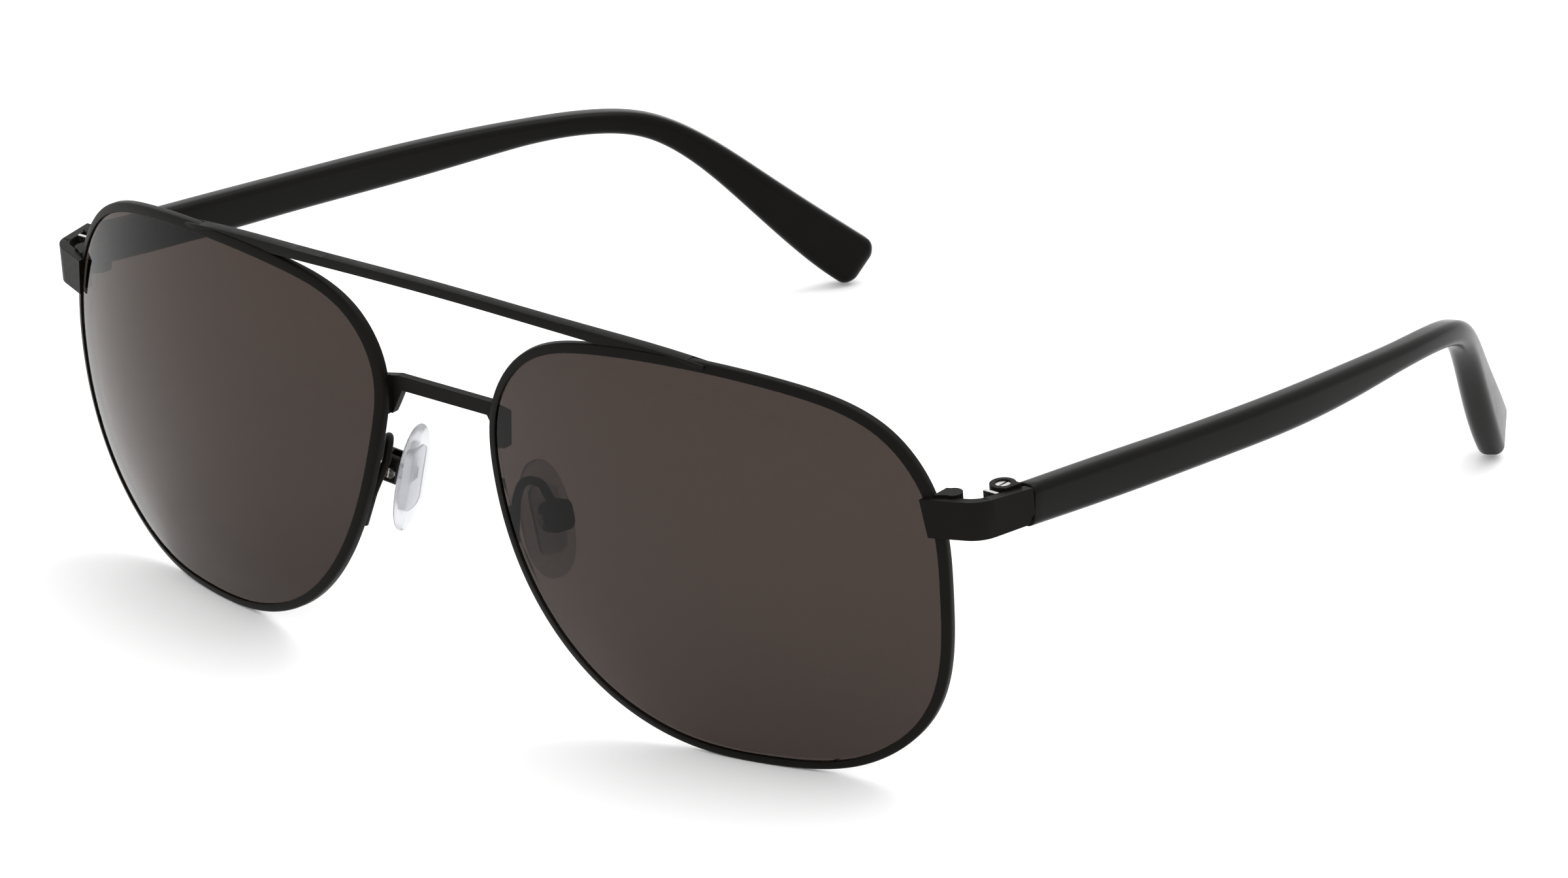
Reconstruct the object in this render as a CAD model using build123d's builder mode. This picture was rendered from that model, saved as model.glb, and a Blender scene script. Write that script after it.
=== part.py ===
"""Aviator sunglasses with metal rims, double bridge, adjustable nose pads and folding temples.

The front is modelled upright: X runs to the wearer's left, Y from the lenses back to the ears and
Z up, with the middle of each lens at Z = 0. Every piece on the left is mirrored for the right.
At the end the whole frame is set down on its rim bottoms and temple tips.
"""

from build123d import *
from math import cos, radians, sin
import os

os.makedirs("parts", exist_ok=True)

# Lenses and rims: the outline is in the lens plane, seen from in front, around its middle
lens_middle = 38.96
wrap = 10.7
base_radius = 74.3
rim_inside = 0.32
rim_outside = 1.36
rim_front = -0.8
rim_back = 0.2
lens_thickness = 1.5
lens_setback = 0.2
ridge_height = 0.45
ridge_front = -0.5
ridge_back = -0.1
seat_gap = 0.03
outline_steps = 24
aperture_points = [
    (26.9, -0.7),
    (25.6, 10.0),
    (20.9, 16.6),
    (10.0, 20.7),
    (-3.3, 21.8),
    (-15.0, 21.0),
    (-24.6, 17.6),
    (-28.6, 11.5),
    (-28.4, 4.3),
    (-24.2, -8.0),
    (-15.0, -18.6),
    (-5.0, -22.8),
    (5.0, -23.4),
    (15.0, -22.2),
    (23.3, -16.0),
]

# Brow bar and nose bridge
brow_top = 24.45
brow_height = 1.15
brow_depth = 1.4
brow_half = 39.0
brow_middle = 1.45
brow_sag = 1.05
bridge_height = 1.75
bridge_depth = 1.0
bridge_top = 11.5
bridge_front = 1.95
foot_front = 0.9

# End pieces and rim closing blocks
sheet = 1.2
end_top = 10.6
end_bottom = 6.1
seam = 18.1
corner_radius = 3.0
sheet_inside = ((68.91, 12.5), (70.51, 19))
split_height = 8.3
split_gap = 0.16
block_middle = (65.7, 11.65)
block_bottom = 6.0
block_top = 10.9
block_radius = 1.05
closing_screw_radius = 0.5
closing_head_radius = 0.65
closing_head_height = 0.6
press_gap = 0.02

# Hinges
hinge_axis = (68.45, 16.7)
hinge_middle = 8.15
barrel_radius = 1.5
barrel_height = 5.1
knuckle_height = 1.9
washer = 0.1
hinge_screw_radius = 0.6
hinge_head_radius = 0.85
hinge_head_height = 0.5
head_recess = 0.15
slot_width = 0.28
slot_depth = 0.25
running_gap = 0.04
play = 0.05

# Temples: each section is distance back, X, Z, height and thickness
temple_sections = [
    (18.25, 69.95, 7.9, 4.8, 3.1),
    (34.0, 69.85, 5.6, 4.9, 3.1),
    (50.0, 69.65, 3.35, 4.65, 3.1),
    (67.6, 68.9, 0.95, 4.45, 3.1),
    (80.0, 67.7, -0.55, 3.8, 3.1),
    (91.0, 66.1, -1.95, 2.95, 3.15),
    (99.0, 64.3, -3.45, 2.8, 3.2),
    (105.5, 62.1, -5.75, 3.05, 3.25),
    (111.0, 59.3, -9.95, 3.6, 3.35),
    (117.0, 55.9, -16.7, 4.7, 3.5),
    (122.5, 52.9, -23.2, 5.9, 3.6),
    (126.8, 50.6, -27.9, 6.5, 3.4),
    (129.2, 49.3, -30.3, 4.8, 2.4),
]
temple_rounding = 0.36
core_width = 1.0
core_height = 1.4
leaf_back = 19.45
leaf_side = 69.55

# Nose pads: splay and lean turn each pad to the side of the nose
pad_middle = (10.5, 6.4, -3.4)
pad_splay = 15.0
pad_lean = 14.0
pad_length = 13.6
pad_width = 6.2
pad_thickness = 1.7
insert_length = 8.0
insert_width = 3.4
insert_thickness = 0.6
lug_width = 1.1
lug_radius = 0.7
pivot_height = 0.5
pivot_offset = 1.95
pad_screw_radius = 0.45
pad_head_radius = 0.65
pad_head_height = 0.35
box_low = 1.3
box_high = 3.2
box_width = 3.3
box_length = 3.5
box_wall = 0.45
wire_radius = 0.5
wire_bend = 1.2
wire_points = [
    (13.0, 0.75, -7.6),
    (11.05, 0.65, -3.3),
    (10.1, 2.3, 0.3),
    (10.3, 3.4, 2.7),
    (11.8, 4.6, 1.9),
    (13.25, 5.25, -1.5),
]

# Resting pose
rest_tilt = 3.5

lens_plane = Plane((lens_middle, 0, 0), x_dir=(cos(radians(wrap)), sin(radians(wrap)), 0),
                   z_dir=(sin(radians(wrap)), -cos(radians(wrap)), 0))
pieces = {}


def keep_pair(part, name):
    """List a finished left-hand piece, and its mirror image on the right."""
    pieces[f"{name}_left"] = part
    pieces[f"{name}_right"] = mirror(part, about=Plane.YZ)


def cut_away(*parts):
    """Cut finished pieces out of the one being made, so that it only touches them."""
    for part in parts:
        add(part, mode=Mode.SUBTRACT, clean=False)


def curved_slab(growth, front, back):
    """The lens outline grown by a width, between two spheres behind the front base curve."""
    outline = Edge.make_spline([Vector(*point) for point in aperture_points], periodic=True)
    grown = []
    for step in range(outline_steps):
        heading = outline % (step / outline_steps)
        grown.append(outline @ (step / outline_steps) + growth * heading.rotate(Axis.Z, -90))
    with BuildPart(lens_plane) as slab:
        with BuildSketch(lens_plane.offset(3)):
            with BuildLine():
                Spline(*grown, periodic=True)
            make_face()
        extrude(amount=-25)
        with Locations((0, 0, -base_radius)):
            Sphere(base_radius - front, rotation=(90, 0, 0), mode=Mode.INTERSECT)
            Sphere(base_radius - back, rotation=(90, 0, 0), mode=Mode.SUBTRACT)
    return slab.part


# Rims: a grooved wire round each lens, open at the closing block. The space inside each rim's
# outside is kept clear of the other metal.
groove = rim_inside + ridge_height
lens_front = rim_front + lens_setback
rim_space = curved_slab(rim_outside, rim_front, rim_back)
rim_space_right = mirror(rim_space, about=Plane.YZ)
with BuildPart() as rim:
    add(rim_space)
    add(curved_slab(rim_inside, rim_front - 1, rim_back + 1), mode=Mode.SUBTRACT)
    add(curved_slab(groove, ridge_front - seat_gap, ridge_back + seat_gap), mode=Mode.SUBTRACT)
    with Locations((*block_middle, split_height)):
        Box(6, 7, split_gap, mode=Mode.SUBTRACT)
keep_pair(rim.part, "rim")

# Lenses: curved plates with a ridge round the edge that sits in the rim's groove
with BuildPart() as lens:
    add(curved_slab(rim_inside - seat_gap, lens_front, lens_front + lens_thickness))
    add(curved_slab(groove - seat_gap, ridge_front, ridge_back))
keep_pair(lens.part, "lens")

# Brow bar: a flat strip, curved in plan, lying on the tops of both rims
with BuildPart() as brow_bar:
    with BuildSketch(Plane.XZ.offset(5)):
        with BuildLine():
            Spline((0, brow_top), (20, 24.0), (35, 23.3), (brow_half, 22.9), tangents=((1, 0), (1, -0.12)))
            Polyline((brow_half, 22.9), (brow_half, 22.4), (30, 22.3))
            Spline((30, 22.3), (20, 22.8), (0, brow_top - brow_height), tangents=((-1, 0.06), (-1, 0)))
            Line((0, brow_top - brow_height), (0, brow_top))
        make_face()
        mirror(about=Plane.YZ)
    extrude(amount=-15)
    with BuildSketch(Plane.XY.offset(15)):
        with BuildLine():
            brow_plan = Spline(*[(x, brow_middle + brow_sag * (x / 30) ** 2) for x in (-41, -20, 0, 20, 41)])
        trace(brow_plan, line_width=brow_depth)
    extrude(amount=15, mode=Mode.INTERSECT)
    cut_away(rim_space, rim_space_right)
pieces["brow_bar"] = brow_bar.part

# Nose bridge: a strip behind the rims, with a foot turned down along each
with BuildPart() as nose_bridge:
    with BuildSketch(Plane.XZ.offset(-bridge_front)):
        with BuildLine():
            Polyline((0, bridge_top), (6.9, bridge_top), (9.9, 10.9), (9.5, 6.6), (8.2, 6.6), (7.6, 7.6),
                     (6.4, bridge_top - bridge_height), (0, bridge_top - bridge_height), (0, bridge_top))
        make_face()
        mirror(about=Plane.YZ)
    extrude(amount=-bridge_depth)
    with BuildSketch(Plane.XZ.offset(-foot_front)):
        with BuildLine():
            Polyline((7.9, bridge_top), (9.9, 10.9), (9.5, 6.6), (8.4, 6.6), (7.9, bridge_top))
        make_face()
        mirror(about=Plane.YZ)
    extrude(amount=foot_front - bridge_front)
    cut_away(rim_space, rim_space_right, lens.part, mirror(lens.part, about=Plane.YZ))
pieces["nose_bridge"] = nose_bridge.part

# End pieces: a flat sheet from the rim's front, round the corner to the temple
with BuildPart() as end_piece:
    with BuildSketch():
        with BuildLine():
            route = FilletPolyline((62.5, 8.8), (69.3, 11.55), (71.15, seam + 1), radius=corner_radius)
        trace(route, line_width=sheet)
    extrude(amount=20)
    with BuildSketch(Plane.YZ.offset(50)):
        with BuildLine():
            Polyline((5, end_top), (12, end_top), (seam, end_top - 0.35), (seam, end_bottom + 1.2),
                     (seam - 0.9, end_bottom), (5, end_bottom), (5, end_top))
        make_face()
    extrude(amount=30, mode=Mode.INTERSECT)
    with BuildSketch(Plane.XZ):
        with BuildLine():
            Polyline((63.4, end_top), (64.1, end_bottom), (75, end_bottom), (75, end_top), (63.4, end_top))
        make_face()
    extrude(amount=-30, mode=Mode.INTERSECT)
    cut_away(rim_space)
keep_pair(end_piece.part, "end_piece")

# Closing blocks: two halves behind the cut in each rim, drawn together by a screw from below
for half, low, high, hole_top in (
    ("lower", block_bottom, split_height - split_gap / 2, split_height),
    ("upper", split_height + split_gap / 2, block_top, block_top - 0.6),
):
    with BuildPart() as closing_block:
        with BuildSketch(Plane.XY.offset(low)):
            with Locations(block_middle):
                Circle(block_radius)
            with BuildLine():
                Polyline((64.4, 9.8), (65.7, 10.6), (65.7, 12.6), (64.4, 12.1), (64.4, 9.8))
            make_face()
        extrude(amount=high - low)
        cut_away(rim_space, end_piece.part, lens.part)
        with BuildSketch(Plane.XY.offset(low)):
            with Locations(block_middle):
                Circle(closing_screw_radius + press_gap)
        extrude(amount=hole_top - low, mode=Mode.SUBTRACT)
        if half == "lower":
            with BuildSketch(Plane.XY.offset(low)):
                with Locations(block_middle):
                    Circle(closing_head_radius + press_gap)
            extrude(amount=closing_head_height, mode=Mode.SUBTRACT)
    keep_pair(closing_block.part, f"closing_block_{half}")

with BuildPart() as closing_screw:
    with BuildSketch(Plane.XY.offset(block_bottom)):
        with Locations(block_middle):
            Circle(closing_screw_radius)
    extrude(amount=block_top - block_bottom - 0.7)
    with BuildSketch(Plane.XY.offset(block_bottom)):
        with Locations(block_middle):
            Circle(closing_head_radius)
    extrude(amount=closing_head_height - press_gap)
    with Locations((*block_middle, block_bottom)):
        Box(slot_width, 2, 2 * slot_depth, mode=Mode.SUBTRACT)
keep_pair(closing_screw.part, "closing_screw")

# Hinges: two knuckles on the end piece, one on the temple between them, and a screw through all
barrel_top = hinge_middle + barrel_height / 2
barrel_bottom = hinge_middle - barrel_height / 2
middle_reach = knuckle_height / 2
washer_reach = middle_reach + play + washer
head_bottom = barrel_top - head_recess - hinge_head_height


def hinge_round(radius, low, high, mode=Mode.ADD):
    """A round boss or hole on the hinge axis, between two heights."""
    with BuildSketch(Plane.XY.offset(low)) as disc:
        with Locations(hinge_axis):
            Circle(radius)
    extrude(disc.sketch, amount=high - low, mode=mode)


with BuildPart() as hinge_front:
    for low, high in ((barrel_bottom, hinge_middle - washer_reach), (hinge_middle + washer_reach, barrel_top)):
        hinge_round(barrel_radius, low, high)
        with BuildSketch(Plane.XY.offset(low)):
            with Locations((hinge_axis[0] + 1.1, hinge_axis[1])):
                Rectangle(2.2, 2.2)
        extrude(amount=high - low)
    with BuildSketch(Plane.XY.offset(barrel_bottom)):
        with BuildLine():
            Polyline(*sheet_inside, (75, 19), (75, 12.5), sheet_inside[0])
        make_face()
    extrude(amount=barrel_height, mode=Mode.SUBTRACT)
    hinge_round(hinge_screw_radius + press_gap, barrel_bottom, barrel_top, Mode.SUBTRACT)
    hinge_round(hinge_head_radius + press_gap, head_bottom, barrel_top, Mode.SUBTRACT)
keep_pair(hinge_front.part, "hinge_front")

with BuildPart() as hinge_washer:
    for level in (hinge_middle + middle_reach + play, hinge_middle - washer_reach):
        hinge_round(barrel_radius - 0.1, level, level + washer)
        hinge_round(hinge_screw_radius + press_gap, level, level + washer, Mode.SUBTRACT)
keep_pair(hinge_washer.part, "hinge_washer")

with BuildPart() as hinge_screw:
    hinge_round(hinge_screw_radius, barrel_bottom + 0.1, head_bottom)
    hinge_round(hinge_head_radius, head_bottom, head_bottom + hinge_head_height)
    with Locations((*hinge_axis, head_bottom + hinge_head_height)):
        Box(slot_width, 3, 2 * slot_depth, mode=Mode.SUBTRACT)
keep_pair(hinge_screw.part, "hinge_screw")

with BuildPart() as hinge_rear:
    hinge_round(barrel_radius - 2 * play, hinge_middle - middle_reach, hinge_middle + middle_reach)
    with BuildSketch(Plane.XY.offset(hinge_middle - middle_reach)):
        with Locations((hinge_axis[0], hinge_axis[1] + 1.2)):
            Rectangle(1.7, 2.4)
    extrude(amount=knuckle_height)
    with Locations((68.75, leaf_back - 0.45, hinge_middle - 0.3)):
        Box(1.5, 0.9, 3.6)
    hinge_round(hinge_screw_radius + running_gap, barrel_bottom, barrel_top, Mode.SUBTRACT)
keep_pair(hinge_rear.part, "hinge_rear")

# Hinge plates: bare steel brackets inside the end pieces, standing up ahead of the barrels
with BuildPart() as hinge_plate:
    with BuildSketch(Plane.XY.offset(end_bottom + 0.2)):
        with Locations((68.9, 14.55)):
            Rectangle(2.6, 0.45)
    extrude(amount=end_top - end_bottom - 0.3)
    with BuildSketch():
        with BuildLine():
            Polyline(*sheet_inside, (75, 19), (75, 12.5), sheet_inside[0])
        make_face()
    extrude(amount=end_top, mode=Mode.SUBTRACT)
keep_pair(hinge_plate.part, "hinge_plate")

# Temples: black plastic arms, deepest at the hinge, bent down behind the ear into a paddle,
# each round a flat steel core that runs from the hinge leaf almost to the tip
line_points = [Vector(x, y, z) for y, x, z, height, thickness in temple_sections]
temple_planes = [Plane(line_points[0], x_dir=(1, 0, 0), z_dir=(0, 1, 0))]
for before, here, after in zip(line_points, line_points[1:], line_points[2:] + line_points[-1:]):
    along = (after - before).normalized()
    across = along.cross(Vector(0, 0, 1)).normalized()
    temple_planes.append(Plane(here, x_dir=across, z_dir=along))

with BuildPart() as temple_core:
    for plane in temple_planes[:-2]:
        with BuildSketch(plane):
            Rectangle(core_width, core_height)
    loft()
    with Locations((*hinge_axis, hinge_middle)):
        Box(20, 2 * (leaf_back - hinge_axis[1]), 20, mode=Mode.SUBTRACT)
keep_pair(temple_core.part, "temple_core")

with BuildPart() as temple:
    for plane, (y, x, z, height, thickness) in zip(temple_planes, temple_sections):
        with BuildSketch(plane):
            RectangleRounded(thickness, height, temple_rounding * min(thickness, height))
    loft()
    with Locations((leaf_side - 5, hinge_axis[1], hinge_middle)):
        Box(10, 2 * (leaf_back - hinge_axis[1]), 20, mode=Mode.SUBTRACT)
    cut_away(temple_core.part)
keep_pair(temple.part, "temple")

# Nose pads, drawn in each pad's own frame: X runs back, Y up along the pad, Z out to the rim
splay = radians(pad_splay)
lean = radians(pad_lean)
pad_frame = Plane(pad_middle, x_dir=(sin(splay), cos(splay), 0),
                  z_dir=(cos(splay) * cos(lean), -sin(splay) * cos(lean), sin(lean)))


def pivot_round(radius, start, length, mode=Mode.ADD):
    """A round pin or hole on the pad's rocking axis."""
    with BuildSketch(Plane.YZ.offset(start)) as disc:
        with Locations((pivot_height, pivot_offset)):
            Circle(radius)
    extrude(disc.sketch, amount=length, mode=mode)


def keep_on_nose(part, name):
    """Set a piece of the left pad from the pad's own frame into place, and list the pair."""
    placed = part.moved(pad_frame.location)
    keep_pair(placed, name)
    return placed


with BuildPart() as insert_drawn:
    with BuildSketch():
        RectangleRounded(insert_width, insert_length, insert_width / 3)
    extrude(amount=insert_thickness / 2, both=True)
    pivot_round(lug_radius, -lug_width / 2, lug_width)
    with BuildSketch(Plane.YZ):
        with Locations((pivot_height, pivot_offset / 2)):
            Rectangle(2 * lug_radius, pivot_offset)
    extrude(amount=lug_width / 2, both=True)
    pivot_round(pad_screw_radius + running_gap, -lug_width, 2 * lug_width, Mode.SUBTRACT)
keep_on_nose(insert_drawn.part, "pad_insert")

with BuildPart() as pad_drawn:
    with BuildSketch():
        Ellipse(pad_width / 2, pad_length / 2)
    extrude(amount=pad_thickness / 2, both=True)
    fillet(pad_drawn.edges(), radius=pad_thickness * 0.42)
    cut_away(insert_drawn.part)
keep_on_nose(pad_drawn.part, "nose_pad")

with BuildPart() as box_drawn:
    with BuildSketch(Plane.XY.offset(box_low)):
        with Locations((0, pivot_height)):
            RectangleRounded(box_width, box_length, 1.0)
    extrude(amount=box_high - box_low)
    with Locations((0, pivot_height, box_high - box_wall - 2)):
        Box(lug_width + 2 * play, 2 * box_length, 4, mode=Mode.SUBTRACT)
    pivot_round(pad_screw_radius + press_gap, -box_width, 2 * box_width, Mode.SUBTRACT)
pad_box = keep_on_nose(box_drawn.part, "pad_box")

with BuildPart() as screw_drawn:
    pivot_round(pad_screw_radius, -box_width / 2, box_width + 0.2)
    pivot_round(pad_head_radius, -box_width / 2 - pad_head_height, pad_head_height)
    with Locations((-box_width / 2 - pad_head_height, pivot_height, pivot_offset)):
        Box(0.3, 2, 0.25, mode=Mode.SUBTRACT)
keep_on_nose(screw_drawn.part, "pad_screw")

# Pad arms: a wire brazed to the back of the rim's nose side, looping over to the pad box
with BuildPart() as pad_arm:
    with BuildLine():
        wire_path = FilletPolyline(*wire_points, radius=wire_bend)
    with BuildSketch(Plane(wire_path @ 0, z_dir=wire_path % 0)):
        Circle(wire_radius)
    sweep()
    cut_away(rim_space, lens.part, pad_box)
keep_pair(pad_arm.part, "pad_arm")

# Set the frame down on its rim bottoms and temple tips, with the origin under the middle
tilt = Location((0, 0, 0), (rest_tilt, 0, 0))
tilted = {name: [solid.moved(tilt) for solid in part.solids()] for name, part in pieces.items()}
outer_box = Compound([solid for solids in tilted.values() for solid in solids]).bounding_box()
resting = Location((0, -(outer_box.min.Y + outer_box.max.Y) / 2, -outer_box.min.Z))
for name, solids in tilted.items():
    placed = Compound([solid.moved(resting) for solid in solids], label=name)
    export_step(placed, f"parts/{name}.step")
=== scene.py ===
from math import atan2, cos, pi, radians, sin, tan

import bmesh
import bpy
import numpy as np
from mathutils import Matrix, Vector


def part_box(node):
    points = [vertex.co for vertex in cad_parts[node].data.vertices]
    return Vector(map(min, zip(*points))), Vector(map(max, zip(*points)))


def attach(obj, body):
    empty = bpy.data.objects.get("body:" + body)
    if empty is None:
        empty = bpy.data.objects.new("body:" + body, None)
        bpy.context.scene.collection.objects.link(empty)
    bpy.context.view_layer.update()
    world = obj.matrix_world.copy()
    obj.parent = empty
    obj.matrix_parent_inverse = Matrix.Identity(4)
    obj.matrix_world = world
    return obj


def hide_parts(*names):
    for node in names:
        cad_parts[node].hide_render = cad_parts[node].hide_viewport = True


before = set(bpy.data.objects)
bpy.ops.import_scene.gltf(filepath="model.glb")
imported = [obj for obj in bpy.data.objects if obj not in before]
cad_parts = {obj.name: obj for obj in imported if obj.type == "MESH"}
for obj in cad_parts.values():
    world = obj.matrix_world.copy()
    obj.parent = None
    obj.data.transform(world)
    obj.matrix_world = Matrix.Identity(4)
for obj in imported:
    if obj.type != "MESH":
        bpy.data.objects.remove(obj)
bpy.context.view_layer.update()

MM = 0.001
SIDES = {"left": 1, "right": -1}

# The front is drawn upright in millimetres, with the middle of each lens at height 0 and Y running
# back to the ears, then tipped back by the angle at which the folded-out frame stands.
REST_TILT = radians(3.5)
LENS_MIDDLE = 38.96
WRAP = radians(10.7)
BASE_RADIUS = 74.3

# Rim and lens: how far out from the aperture, and how far behind the base sphere, their edges lie
RIM_INSIDE = 0.32
RIM_OUTSIDE = 1.36
RIM_FRONT = -0.8
RIM_BACK = 0.2
LENS_FRONT = -0.6
LENS_BACK = 0.9
RIDGE_HEIGHT = 0.45
RIDGE = (-0.5, -0.1)
SEAT_GAP = 0.03
RIM_INNER_ROUND = 0.1
RIM_OUTER_ROUND = 0.2
LENS_EDGE_ROUND = 0.04
LENS_BACK_EDGE_ROUND = 0.06

# The aperture of a lens, from its outer side over the top, and the heights between which its rim is cut
SPLIT = (8.22, 8.38)
APERTURE = [
    (26.9, -0.7), (25.6, 10.0), (20.9, 16.6), (10.0, 20.7), (-3.3, 21.8), (-15.0, 21.0), (-24.6, 17.6),
    (-28.6, 11.5), (-28.4, 4.3), (-24.2, -8.0), (-15.0, -18.6), (-5.0, -22.8), (5.0, -23.4),
    (15.0, -22.2), (23.3, -16.0),
]

# Temples: distance out from the middle, back and up, with the height and thickness of the arm. Each end
# is drawn in on an arc, by a smaller share on its sides, and each section's corners are rounded.
TEMPLE = [
    (70.0, 18.25, 7.9, 4.8, 3.0), (69.85, 34.0, 5.6, 4.9, 3.1), (69.65, 50.0, 3.35, 4.65, 3.1),
    (68.9, 67.6, 0.95, 4.45, 3.1), (67.7, 80.0, -0.55, 3.8, 3.1), (66.1, 91.0, -1.95, 2.95, 3.15),
    (64.3, 99.0, -3.45, 2.8, 3.2), (62.1, 105.5, -5.75, 3.05, 3.25), (59.3, 111.0, -9.95, 3.6, 3.35),
    (55.9, 117.0, -16.7, 4.7, 3.5), (52.9, 122.5, -23.2, 5.9, 3.6), (50.6, 126.8, -27.9, 6.5, 3.4),
    (49.3, 129.2, -30.3, 6.5, 3.2),
]
TIP_ROUND = 1.9
SEAM_ROUND = 0.2
CORNER_SHARE = 0.36
SIDE_INSET_SHARE = 0.72
FULLEST_CORNER = 0.95

# Nose pads: middle of the left pad, the turn that lays it against the nose, its width, height and
# thickness, and the powers that shape its outline, its edge and its dome
PAD_MIDDLE = (10.5, 6.4, -3.4)
PAD_SPLAY = radians(15)
PAD_LEAN = radians(14)
PAD_SIZE = (6.2, 13.6, 1.7)
PAD_TAPER = 0.06
PAD_SHOULDER = 0.86
PAD_EDGE = 0.42
PAD_DOME = 0.8

# How finely the curves are cut up
RIM_SECTIONS = 261
LENS_SECTIONS = 180
LENS_RINGS = 24
PAD_POINTS = 96
PAD_RINGS = 31

# Places along the temple where its sections stand, closest together at both ends
TEMPLE_PLACES = np.concatenate([
    [0.0, 0.0004, 0.0009], np.linspace(0.0018, 0.6, 60), np.linspace(0.6, 0.985, 90)[1:],
    np.linspace(0.985, 1, 16)[1:],
])

# The place by which the aperture has passed the rim's cut, and the halvings that find the cut
OUTER_SIDE_END = 0.12
HALVINGS = 50

# Metres within which corners of one mesh count as the same point
MERGE_DISTANCE = 1e-7
WELD_DISTANCE = 2e-7

# Rounding of the metal edges, in millimetres
BAR_EDGE = 0.15
SHEET_EDGE = 0.18
SMALL_EDGE = 0.06


def tipped(points):
    """Points of the upright drawing after the tip back, still in millimetres."""
    turn = np.array([[1, 0, 0], [0, cos(REST_TILT), -sin(REST_TILT)], [0, sin(REST_TILT), cos(REST_TILT)]])
    return np.asarray(points, float) @ turn.T


def spline(points, places, closed=False):
    """Values and slopes of a smooth cubic through the points, at places from 0, its start, to 1, its end."""
    p = np.array(points, float)
    if closed:
        p = np.vstack([p, p[:1]])
    steps = np.linalg.norm(np.diff(p[:, :3], axis=0), axis=1)
    knots = np.concatenate([[0], np.cumsum(steps)])
    last = len(p) - 1
    slopes = np.diff(p, axis=0) / steps[:, None]
    system = np.zeros((last + 1, last + 1))
    known = np.zeros_like(p)
    for i in range(1, last):
        system[i, i - 1:i + 2] = steps[i - 1], 2 * (steps[i - 1] + steps[i]), steps[i]
        known[i] = 6 * (slopes[i] - slopes[i - 1])
    if closed:
        system[0, 0], system[0, 1], system[0, last - 1] = 2 * (steps[0] + steps[-1]), steps[0], steps[-1]
        known[0] = 6 * (slopes[0] - slopes[-1])
        system[last, 0], system[last, last] = 1, -1
    else:
        system[0, 0] = system[last, last] = 1
    bends = np.linalg.solve(system, known)
    at = (np.asarray(places) % 1.0 if closed else np.asarray(places)) * knots[-1]
    i = np.clip(np.searchsorted(knots, at, side="right") - 1, 0, last - 1)
    h = steps[i][:, None]
    a = (knots[i + 1] - at)[:, None] / h
    b = 1 - a
    values = a * p[i] + b * p[i + 1] + ((a ** 3 - a) * bends[i] + (b ** 3 - b) * bends[i + 1]) * h * h / 6
    turns = slopes[i] + ((1 - 3 * a * a) * bends[i] + (3 * b * b - 1) * bends[i + 1]) * h / 6
    return values, turns


def rounded(corners, steps=3):
    """A closed outline through corners (x, y, radius), each turned on an arc of its own radius."""
    outline = []
    for i, (x, y, radius) in enumerate(corners):
        here = np.array((x, y))
        if radius == 0:
            outline.append(here)
            continue
        to_last = np.array(corners[i - 1][:2]) - here
        to_next = np.array(corners[(i + 1) % len(corners)][:2]) - here
        to_last /= np.linalg.norm(to_last)
        to_next /= np.linalg.norm(to_next)
        half = np.arccos(np.clip(to_last @ to_next, -1, 1)) / 2
        inward = (to_last + to_next) / np.linalg.norm(to_last + to_next)
        centre = here + inward * radius / sin(half)
        first = here + to_last * radius / tan(half) - centre
        second = here + to_next * radius / tan(half) - centre
        turn = atan2(first[0] * second[1] - first[1] * second[0], first @ second)
        for k in range(steps + 1):
            c, s = cos(turn * k / steps), sin(turn * k / steps)
            outline.append(centre + np.array((c * first[0] - s * first[1], s * first[0] + c * first[1])))
    return np.array(outline)


def new_piece(name, points, faces, sharp):
    """A mesh object from points in millimetres of the row frame, shaded smooth but for its sharp edges."""
    mesh = bpy.data.meshes.new(name)
    mesh.from_pydata([tuple(p) for p in np.asarray(points) * MM], [], faces)
    work = bmesh.new()
    work.from_mesh(mesh)
    bmesh.ops.remove_doubles(work, verts=work.verts, dist=MERGE_DISTANCE)
    bmesh.ops.recalc_face_normals(work, faces=work.faces)
    work.to_mesh(mesh)
    work.free()
    mesh.shade_smooth()
    mesh.set_sharp_from_angle(angle=radians(sharp))
    piece = bpy.data.objects.new(name, mesh)
    bpy.context.scene.collection.objects.link(piece)
    return piece


def skin(rings):
    """Faces between rings of equal count, and over the first and last ring."""
    count = len(rings[0])
    end = (len(rings) - 1) * count
    following = [(j + 1) % count for j in range(count)]
    faces = []
    for here in range(0, end, count):
        there = here + count
        faces += [(here + j, there + j, there + k, here + k) for j, k in enumerate(following)]
    faces += [tuple(range(count)), tuple(reversed(range(end, end + count)))]
    return faces


def make_pair(name, points, faces, material, body, sharp):
    """A left piece and its mirror image, standing for the CAD nodes of the same name."""
    for side, sign in SIDES.items():
        turned = faces if sign > 0 else [tuple(reversed(face)) for face in faces]
        piece = new_piece(f"{name}_{side}_shaped", np.asarray(points) * (sign, 1, 1), turned, sharp)
        piece.data.materials.append(material)
        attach(piece, body.format(side=side))
        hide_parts(f"{name}_{side}")


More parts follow.
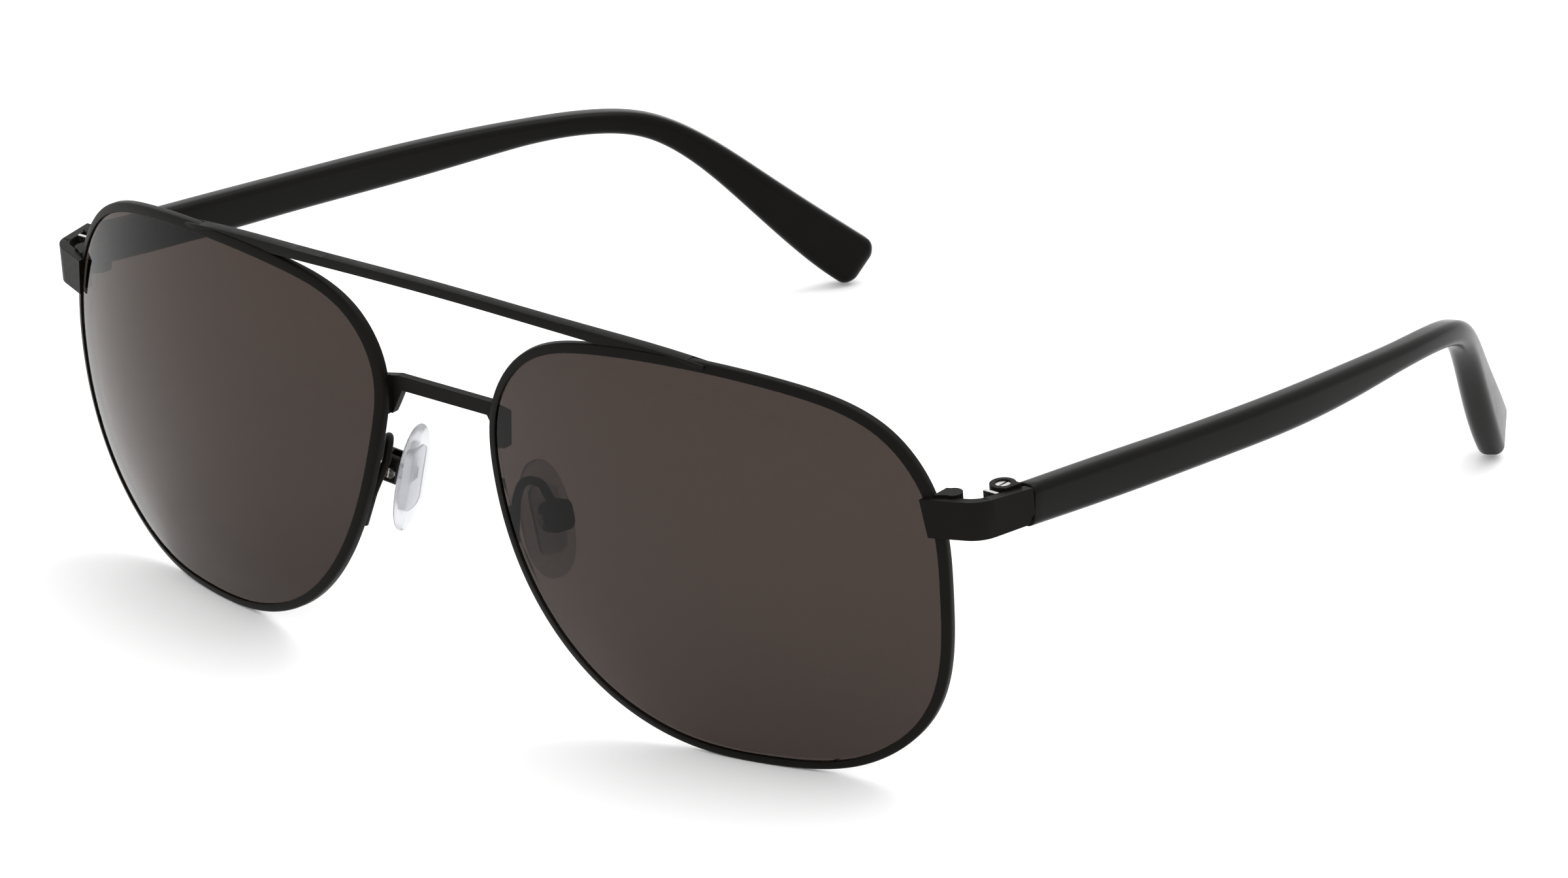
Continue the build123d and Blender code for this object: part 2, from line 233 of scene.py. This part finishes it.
# ---------------------------------------------------------------- materials
class Shader:
    """A node material, built around one Principled shader."""

    def __init__(self, name, **settings):
        self.material = bpy.data.materials.new(name)
        self.material.use_nodes = True
        self.tree = self.material.node_tree
        self.shader = self.tree.nodes["Principled BSDF"]
        for socket, value in settings.items():
            self.shader.inputs[socket.replace("_", " ")].default_value = value

    def add(self, kind, links=(), **values):
        """One node; links are (socket, output) pairs, and values set sockets or settings by name."""
        node = self.tree.nodes.new(kind)
        for key, value in values.items():
            label = key.replace("_", " ").title()
            if label in node.inputs:
                node.inputs[label].default_value = value
            else:
                setattr(node, key, value)
        for socket, output in links:
            self.tree.links.new(output, node.inputs[socket])
        return node

    def feed(self, socket, output):
        """Links an output to a socket of the Principled shader."""
        self.tree.links.new(output, self.shader.inputs[socket])

    def place(self):
        """Where a point lies on its own object, in metres."""
        return self.add("ShaderNodeTexCoord").outputs["Object"]

    def noise(self, scale, detail=3.0, roughness=0.5, stretch=None):
        """Solid noise in object space; scale is in features per metre."""
        where = self.place()
        if stretch:
            where = self.add("ShaderNodeMapping", [("Vector", where)], scale=stretch).outputs[0]
        return self.add("ShaderNodeTexNoise", [("Vector", where)], scale=scale, detail=detail,
                        roughness=roughness).outputs["Fac"]

    def ramp(self, fac, *stops):
        """A colour ramp between two stops of (place, colour)."""
        node = self.add("ShaderNodeValToRGB", [("Fac", fac)])
        for element, (place, colour) in zip(node.color_ramp.elements, stops):
            element.position = place
            element.color = (*colour, 1)
        return node.outputs["Color"]

    def spread(self, fac, low, high):
        """The factor, mapped to run from low to high."""
        return self.add("ShaderNodeMapRange", [("Value", fac)], to_min=low, to_max=high).outputs["Result"]

    def mixed(self, fac, first, second):
        """Two colours blended by a factor."""
        node = self.add("ShaderNodeMix", data_type="RGBA")
        self.tree.links.new(fac, node.inputs["Factor"])
        for key, colour in (("A", first), ("B", second)):
            socket = [s for s in node.inputs if s.name == key and s.type == "RGBA"][0]
            socket.default_value = (*colour, 1)
        return [s for s in node.outputs if s.type == "RGBA"][0]

    def bump(self, *layers):
        """Bumps on top of each other; each layer is (height, depth in metres)."""
        below = []
        for height, depth in layers:
            node = self.add("ShaderNodeBump", [("Height", height), *below], strength=1.0, distance=depth)
            below = [("Normal", node.outputs["Normal"])]
        self.feed("Normal", node.outputs["Normal"])


def enamel():
    """Satin black enamel on metal, with the faint orange peel of a sprayed and baked coat."""
    m = Shader("black_enamel_satin", Roughness=0.42, Specular_IOR_Level=0.064)
    broad = m.noise(90, 2)
    fine = m.noise(1600, 3)
    m.feed("Base Color", m.mixed(m.spread(broad, 0.2, 0.9), (0.0026, 0.0023, 0.0020),
                                 (0.0050, 0.0045, 0.0039)))
    m.feed("Roughness", m.spread(fine, 0.36, 0.50))
    m.bump((m.noise(2600, 2), 0.000003), (m.noise(420, 2), 0.000006))
    return m.material


def acetate():
    """Polished black plastic, with the slight waviness and haze left by tumbling."""
    m = Shader("black_acetate_polished", Roughness=0.2, Specular_IOR_Level=0.058)
    haze = m.noise(260, 4, 0.6)
    m.feed("Base Color", m.mixed(haze, (0.0020, 0.0017, 0.0014), (0.0038, 0.0033, 0.0029)))
    m.feed("Roughness", m.spread(m.noise(700, 3), 0.16, 0.27))
    m.bump((m.noise(110, 2), 0.000012), (m.noise(3200, 2), 0.0000008))
    return m.material


def steel():
    """Bare hinge steel, turned and brushed."""
    m = Shader("hinge_steel", Metallic=1.0, Roughness=0.26)
    grain = m.noise(900, 4, 0.6, stretch=(0.15, 0.15, 6.0))
    m.feed("Base Color", m.ramp(grain, (0.25, (0.42, 0.41, 0.40)), (0.8, (0.80, 0.79, 0.77))))
    m.feed("Roughness", m.spread(grain, 0.18, 0.36))
    m.bump((grain, 0.000004))
    return m.material


def tinted():
    """Brown-grey sun lens, dyed through, with a faint unevenness of tone."""
    m = Shader("sun_lens_brown_grey", Roughness=0.0, IOR=1.2, Transmission_Weight=1.0)
    cloud = m.noise(22, 2)
    m.feed("Base Color", m.mixed(cloud, (0.0438, 0.0325, 0.0277), (0.0475, 0.0353, 0.0300)))
    return m.material


def silicone():
    """Clear soft silicone of the nose pads, slightly hazy, with fine flow lines."""
    m = Shader("clear_silicone_soft", Roughness=0.12, IOR=1.25, Transmission_Weight=0.82)
    flow = m.noise(420, 3, 0.6, stretch=(1.0, 1.0, 0.35))
    m.feed("Base Color", m.ramp(flow, (0.3, (0.70, 0.71, 0.74)), (0.75, (0.86, 0.86, 0.89))))
    m.feed("Roughness", m.spread(flow, 0.10, 0.24))
    m.bump((flow, 0.00002), (m.noise(2400, 2), 0.000003))
    return m.material


def insert_plastic():
    """Clear hard plate moulded inside each pad."""
    m = Shader("pad_insert_clear", Roughness=0.12, IOR=1.45, Transmission_Weight=0.85)
    m.feed("Base Color", m.mixed(m.noise(900, 3), (0.66, 0.66, 0.69), (0.84, 0.84, 0.87)))
    m.feed("Roughness", m.spread(m.noise(1500, 2), 0.10, 0.22))
    return m.material


ENAMEL = enamel()
ACETATE = acetate()
STEEL = steel()
TINTED = tinted()
SILICONE = silicone()
INSERT = insert_plastic()


# ---------------------------------------------------------------- rims and lenses
def grown(outline, headings, growth):
    """The outline, moved outwards by a growth."""
    normal = np.column_stack([headings[:, 1], -headings[:, 0]])
    normal /= np.linalg.norm(normal, axis=1)[:, None]
    return outline + normal * growth


def from_lens_plane(flat, depth):
    """Points of the flat drawing, bent onto the base sphere or behind it by a depth, and wrapped round."""
    sink = np.sqrt((BASE_RADIUS - depth) ** 2 - (flat ** 2).sum(axis=1)) - BASE_RADIUS
    across = np.array((cos(WRAP), sin(WRAP), 0))
    out = np.array((sin(WRAP), -cos(WRAP), 0))
    middle = np.array((LENS_MIDDLE, 0, 0))
    return middle + flat[:, :1] * across + flat[:, 1:] * (0, 0, 1) + sink[:, None] * out


def split_place(height):
    """Where the outline's outer side passes a height, as a place along the curve."""
    low, high = 0.0, OUTER_SIDE_END
    for _ in range(HALVINGS):
        middle = (low + high) / 2
        value = spline(APERTURE, [middle], True)[0][0, 1]
        low, high = (middle, high) if value < height else (low, middle)
    return low


def rim_rings():
    """Sections of the rim wire from one side of its cut round to the other."""
    groove = RIM_INSIDE + RIDGE_HEIGHT
    section = rounded([
        (RIM_INSIDE, RIM_FRONT, RIM_INNER_ROUND), (RIM_OUTSIDE, RIM_FRONT, RIM_OUTER_ROUND),
        (RIM_OUTSIDE, RIM_BACK, RIM_OUTER_ROUND), (RIM_INSIDE, RIM_BACK, RIM_INNER_ROUND),
        (RIM_INSIDE, RIDGE[1] + SEAT_GAP, 0), (groove, RIDGE[1] + SEAT_GAP, 0),
        (groove, RIDGE[0] - SEAT_GAP, 0), (RIM_INSIDE, RIDGE[0] - SEAT_GAP, 0),
    ])
    places = np.linspace(split_place(SPLIT[1]), split_place(SPLIT[0]) + 1, RIM_SECTIONS)
    outline, headings = spline(APERTURE, places, True)
    rows = [from_lens_plane(grown(outline, headings, growth), depth) for growth, depth in section]
    return np.stack(rows, axis=1)


def lens_rings():
    """Rings of the lens from its front middle, over the ridge round its edge, to its back middle."""
    outline, headings = spline(APERTURE, np.linspace(0, 1, LENS_SECTIONS, endpoint=False), True)
    wall = RIM_INSIDE - SEAT_GAP
    ridge = wall + RIDGE_HEIGHT
    edge = [
        (wall - LENS_EDGE_ROUND, LENS_FRONT), (wall, LENS_FRONT + LENS_EDGE_ROUND), (wall, RIDGE[0]),
        (ridge, RIDGE[0]), (ridge, RIDGE[1]), (wall, RIDGE[1]), (wall, LENS_BACK - LENS_BACK_EDGE_ROUND),
        (wall - LENS_BACK_EDGE_ROUND, LENS_BACK),
    ]
    rim_line = grown(outline, headings, wall - LENS_EDGE_ROUND)
    shrinks = np.linspace(0, 1, LENS_RINGS + 2)[1:-1]
    rings = [from_lens_plane(rim_line * s, LENS_FRONT) for s in shrinks]
    rings += [from_lens_plane(grown(outline, headings, growth), depth) for growth, depth in edge]
    rings += [from_lens_plane(rim_line * s, LENS_BACK) for s in reversed(shrinks)]
    return np.stack(rings)


rim_points = tipped(rim_rings().reshape(-1, 3))
SHIFT = np.array(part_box("rim_left")[0]) / MM - rim_points.min(axis=0)


def placed(points):
    """Points of the upright drawing, in millimetres of the row frame."""
    return tipped(np.asarray(points).reshape(-1, 3)) + SHIFT


rings = rim_rings()
make_pair("rim", placed(rings), skin(rings), ENAMEL, "front", sharp=40)
rings = lens_rings()
make_pair("lens", placed(rings), skin(rings), TINTED, "front", sharp=30)


# ---------------------------------------------------------------- temples
def arc_inset(distance, radius):
    """How far an end rounded on an arc has drawn in, at a distance from the end."""
    return radius - (radius ** 2 - max(radius - distance, 0) ** 2) ** 0.5


def temple_rings():
    """Sections along the arm, softly squared, drawn in on an arc at both ends."""
    values, headings = spline(TEMPLE, TEMPLE_PLACES)
    along = headings[:, :3] / np.linalg.norm(headings[:, :3], axis=1)[:, None]
    rings = []
    for (x, y, z, height, thickness), way in zip(values, along):
        across = np.cross(way, (0, 0, 1))
        across /= np.linalg.norm(across)
        up = np.cross(across, way)
        from_tip = np.linalg.norm(values[-1, :3] - (x, y, z))
        from_seam = np.linalg.norm(values[0, :3] - (x, y, z))
        inset = arc_inset(from_tip, TIP_ROUND) + arc_inset(from_seam, SEAM_ROUND)
        half, tall = thickness / 2 - inset * SIDE_INSET_SHARE, height / 2 - inset
        corner = min(CORNER_SHARE * min(thickness, height), half * FULLEST_CORNER, tall * FULLEST_CORNER)
        section = rounded([(-half, -tall, corner), (half, -tall, corner), (half, tall, corner),
                           (-half, tall, corner)], steps=6)
        middle = np.array((x, y, z))
        rings.append(middle + section[:, :1] * across + section[:, 1:] * up)
    return np.stack(rings)


rings = temple_rings()
make_pair("temple", placed(rings), skin(rings), ACETATE, "temple_{side}", sharp=45)


# ---------------------------------------------------------------- nose pads
def squared(wave):
    """A sine wave with its shoulders filled out, for an oval nearer to a rectangle."""
    return np.sign(wave) * abs(wave) ** PAD_SHOULDER


def pad_points():
    """A soft oval pad, narrower at the top, domed on both faces."""
    wide, tall, thick = (size / 2 for size in PAD_SIZE)
    rings = []
    angles = np.linspace(0, 2 * pi, PAD_POINTS, endpoint=False)
    for level in np.linspace(-pi / 2, pi / 2, PAD_RINGS + 2)[1:-1]:
        spread = cos(level) ** PAD_EDGE
        rise = np.sign(sin(level)) * abs(sin(level)) ** PAD_DOME * thick
        u = squared(np.cos(angles)) * wide * spread * (1 - PAD_TAPER * np.sin(angles))
        v = squared(np.sin(angles)) * tall * spread
        rings.append(np.column_stack([u, v, np.full(PAD_POINTS, rise)]))
    local = np.concatenate(rings)
    x_axis = np.array((sin(PAD_SPLAY), cos(PAD_SPLAY), 0))
    z_axis = np.array((cos(PAD_SPLAY) * cos(PAD_LEAN), -sin(PAD_SPLAY) * cos(PAD_LEAN), sin(PAD_LEAN)))
    y_axis = np.cross(z_axis, x_axis)
    return np.array(PAD_MIDDLE) + local @ np.array([x_axis, y_axis, z_axis]), skin(rings)


points, faces = pad_points()
make_pair("nose_pad", placed(points), faces, SILICONE, "pad_{side}", sharp=60)


# ---------------------------------------------------------------- metal from the CAD
def finish_node(name, material, bevel=0.0):
    """Gives a CAD node its material, and rounds its edges where they show."""
    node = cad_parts[name]
    node.data.materials.clear()
    node.data.materials.append(material)
    if bevel:
        weld = node.modifiers.new("weld", "WELD")
        weld.merge_threshold = WELD_DISTANCE
        round_off = node.modifiers.new("edges", "BEVEL")
        round_off.width = bevel * MM
        round_off.segments = 3
        round_off.limit_method = "ANGLE"
        round_off.angle_limit = radians(35)
        round_off.harden_normals = True


for name in ("brow_bar", "nose_bridge"):
    finish_node(name, ENAMEL, BAR_EDGE)
for side in SIDES:
    finish_node(f"end_piece_{side}", ENAMEL, SHEET_EDGE)
    for name in ("closing_block_upper", "closing_block_lower", "hinge_front", "pad_arm", "pad_box",
                 "hinge_rear"):
        finish_node(f"{name}_{side}", ENAMEL, SMALL_EDGE)
    for name in ("hinge_plate", "hinge_screw", "hinge_washer", "closing_screw", "pad_screw"):
        finish_node(f"{name}_{side}", STEEL)
    finish_node(f"temple_core_{side}", STEEL)
    finish_node(f"pad_insert_{side}", INSERT)


# ---------------------------------------------------------------- floor, light and camera
LIT_POINT = (0, 0, 0.02)
FLOOR_REACH = 6.0
WORLD_STRENGTH = 1.25
CAMERA_PLACE = (659.51, -670.76, 414.24)
CAMERA_AZIMUTH = radians(42.15)
CAMERA_ELEVATION = radians(23.63)
CAMERA_ROLL = radians(4.18)
CAMERA_LENS = 211.3
CAMERA_SENSOR = 36


def soft_light(name, place, size, power):
    """A square soft box that faces the part; its place and side are in metres, its power in watts."""
    lamp = bpy.data.lights.new(name, "AREA")
    lamp.shape = "SQUARE"
    lamp.size = size
    lamp.energy = power
    obj = bpy.data.objects.new(name, lamp)
    obj.location = place
    obj.rotation_mode = "QUATERNION"
    obj.rotation_quaternion = (Vector(LIT_POINT) - Vector(place)).to_track_quat("-Z", "Y")
    bpy.context.scene.collection.objects.link(obj)


def make_floor():
    """A plain pale floor, with a slight unevenness of tone."""
    m = Shader("studio_floor", Roughness=0.7, Specular_IOR_Level=0.2)
    m.feed("Base Color", m.mixed(m.noise(6, 2), (0.93, 0.93, 0.93), (0.95, 0.95, 0.95)))
    mesh = bpy.data.meshes.new("studio_floor")
    corners = [(x * FLOOR_REACH, y * FLOOR_REACH, 0) for x, y in ((-1, -1), (1, -1), (1, 1), (-1, 1))]
    mesh.from_pydata(corners, [], [(0, 1, 2, 3)])
    floor = bpy.data.objects.new("studio_floor", mesh)
    bpy.context.scene.collection.objects.link(floor)
    mesh.materials.append(m.material)


def make_world():
    """An even white surround."""
    world = bpy.data.worlds.new("studio")
    bpy.context.scene.world = world
    world.use_nodes = True
    back = world.node_tree.nodes["Background"]
    back.inputs["Color"].default_value = (1, 1, 1, 1)
    back.inputs["Strength"].default_value = WORLD_STRENGTH


def make_camera():
    """A long lens above the front and to its left side, placed and turned in the upright drawing."""
    flat_way = np.array((-sin(CAMERA_AZIMUTH), cos(CAMERA_AZIMUTH), 0))
    forward = flat_way * cos(CAMERA_ELEVATION) - np.array((0, 0, sin(CAMERA_ELEVATION)))
    level = np.array((cos(CAMERA_AZIMUTH), sin(CAMERA_AZIMUTH), 0))
    down = np.cross(forward, level)
    right = cos(CAMERA_ROLL) * level + sin(CAMERA_ROLL) * down
    down = cos(CAMERA_ROLL) * down - sin(CAMERA_ROLL) * level
    axes = np.column_stack([tipped(right), -tipped(down), -tipped(forward)])
    data = bpy.data.cameras.new("camera")
    data.sensor_width = CAMERA_SENSOR
    data.lens = CAMERA_LENS
    camera = bpy.data.objects.new("camera", data)
    place = Matrix.Translation(Vector(placed(CAMERA_PLACE)[0] * MM))
    camera.matrix_world = place @ Matrix(axes.tolist()).to_4x4()
    bpy.context.scene.collection.objects.link(camera)
    bpy.context.scene.camera = camera


make_floor()
make_world()
make_camera()
soft_light("key", place=(0.15, 0.45, 1.1), size=0.9, power=5.5)
soft_light("fill", place=(0.9, -0.7, 0.9), size=0.7, power=2.0)
bpy.context.scene.view_settings.view_transform = "Standard"
